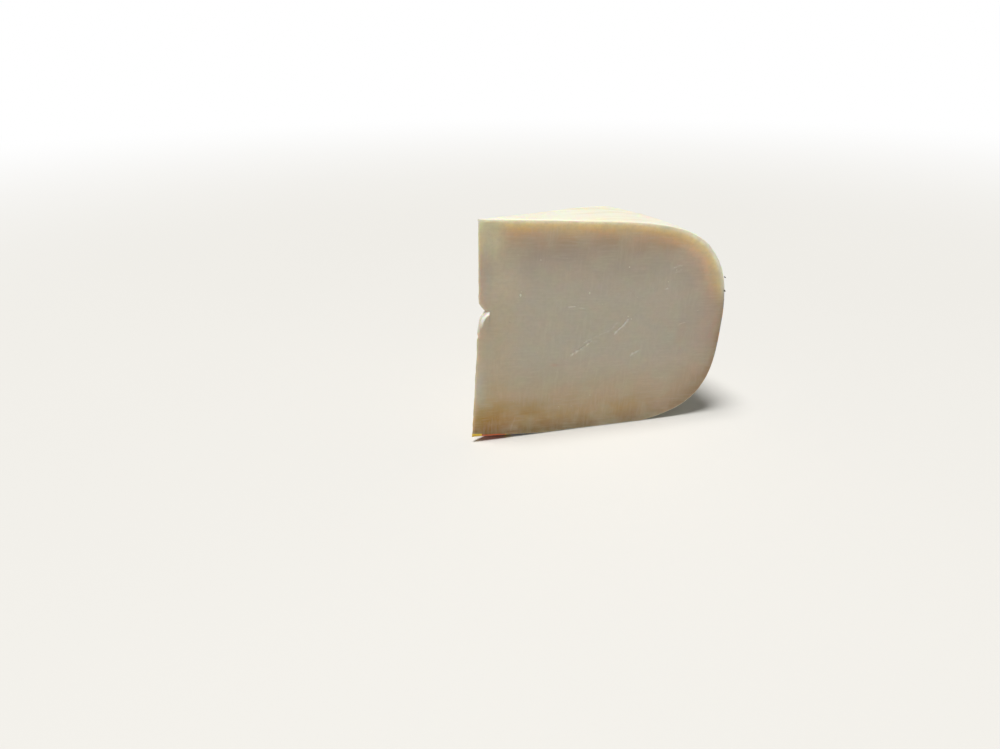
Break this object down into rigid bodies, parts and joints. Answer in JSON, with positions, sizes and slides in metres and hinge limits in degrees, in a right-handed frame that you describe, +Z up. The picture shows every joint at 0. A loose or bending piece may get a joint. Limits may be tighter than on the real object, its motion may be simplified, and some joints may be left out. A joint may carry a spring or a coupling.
{
  "type": "wedge of goat gouda cheese",
  "caption": "Wedge cut from a round wheel of pale goat's milk gouda, with smooth rind, a printed band round the side and a round label under the base.",
  "frame": {"origin": "under the middle of the part's box, on the surface it stands on", "axes": "+Z up; the near cut face runs along +X and faces -Y, the tip points to -X and the rind to +X"},
  "size_m": [0.1206, 0.0604, 0.1023],
  "materials": {
    "cheese": "pale ivory cheese, satin cut faces and waxy rind",
    "band_print": "blue-grey printed film, satin",
    "label_print": "printed paper in yellow, red and blue fields, satin"
  },
  "bodies": {
    "root": {"cheese_wedge": "cheese", "rind_band": "band_print", "base_label": "label_print"}
  },
  "joints": []
}
